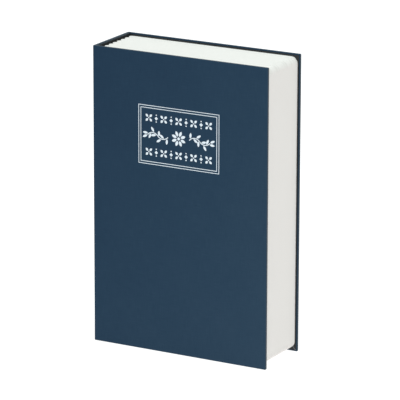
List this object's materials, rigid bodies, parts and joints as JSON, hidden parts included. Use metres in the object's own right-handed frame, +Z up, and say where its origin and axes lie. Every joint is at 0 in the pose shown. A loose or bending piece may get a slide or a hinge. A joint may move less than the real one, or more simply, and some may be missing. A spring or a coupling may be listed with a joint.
{
  "type": "book diversion safe",
  "caption": "Cloth-covered book that stands on its tail, with a moulded page block that hides a steel box with a hinged, locking lid.",
  "frame": {"origin": "middle of the footprint, on the surface the book stands on", "axes": "+Z up from tail to head, front cover faces -Y, spine at -X, fore-edge at +X"},
  "size_m": [0.154, 0.055, 0.24],
  "materials": {
    "cover_cloth": "matt book cloth",
    "greyboard": "raw",
    "endpaper": "matt",
    "page_plastic": "satin moulded",
    "black_steel": "fine textured powder coat",
    "zinc_steel": "zinc plated",
    "lock_chrome": "polished",
    "silver_foil": "stamped foil"
  },
  "bodies": {
    "safe": {"rear_board": "greyboard", "rear_cloth": "cover_cloth", "rear_endpaper": "endpaper", "rear_joint_cloth": "cover_cloth", "page_block": "page_plastic", "steel_box": "black_steel", "hinge_box_leaf": "black_steel", "hinge_pin": "zinc_steel", "push_nut_1": "zinc_steel", "push_nut_2": "zinc_steel", "push_nut_3": "zinc_steel", "push_nut_4": "zinc_steel", "push_nut_5": "zinc_steel", "push_nut_6": "zinc_steel"},
    "spine": {"spine_board": "greyboard", "spine_cloth": "cover_cloth", "spine_lining": "endpaper", "front_joint_cloth": "cover_cloth"},
    "front_cover": {"front_board": "greyboard", "front_cloth": "cover_cloth", "front_endpaper": "endpaper"},
    "lid": {"lid_panel": "black_steel", "hinge_lid_leaf": "black_steel", "lock_housing": "lock_chrome", "lock_washer": "zinc_steel", "lock_nut": "zinc_steel"},
    "lock_barrel": {"lock_plug": "lock_chrome", "lock_cam": "zinc_steel", "cam_screw": "zinc_steel"}
  },
  "joints": [
    {"name": "spine_hinge", "type": "hinge", "parent": "safe", "child": "spine", "pos_m": [-0.077, 0.0275, 0.12], "axis": [0, 0, -1], "range_deg": [0, 90]},
    {"name": "front_cover_hinge", "type": "hinge", "parent": "spine", "child": "front_cover", "pos_m": [-0.077, -0.0275, 0.12], "axis": [0, 0, -1], "range_deg": [0, 178]},
    {"name": "lid_hinge", "type": "hinge", "parent": "safe", "child": "lid", "pos_m": [-0.0538, -0.02185, 0.1203], "axis": [0, 0, -1], "range_deg": [0, 108]},
    {"name": "lock_turn", "type": "hinge", "parent": "lid", "child": "lock_barrel", "pos_m": [0.0382, -0.0205, 0.1203], "axis": [0, 1, 0], "range_deg": [0, 90]}
  ],
  "couplings": [
    {"joint": "lid_hinge", "follows": "front_cover_hinge", "ratio": 0.6}
  ]
}
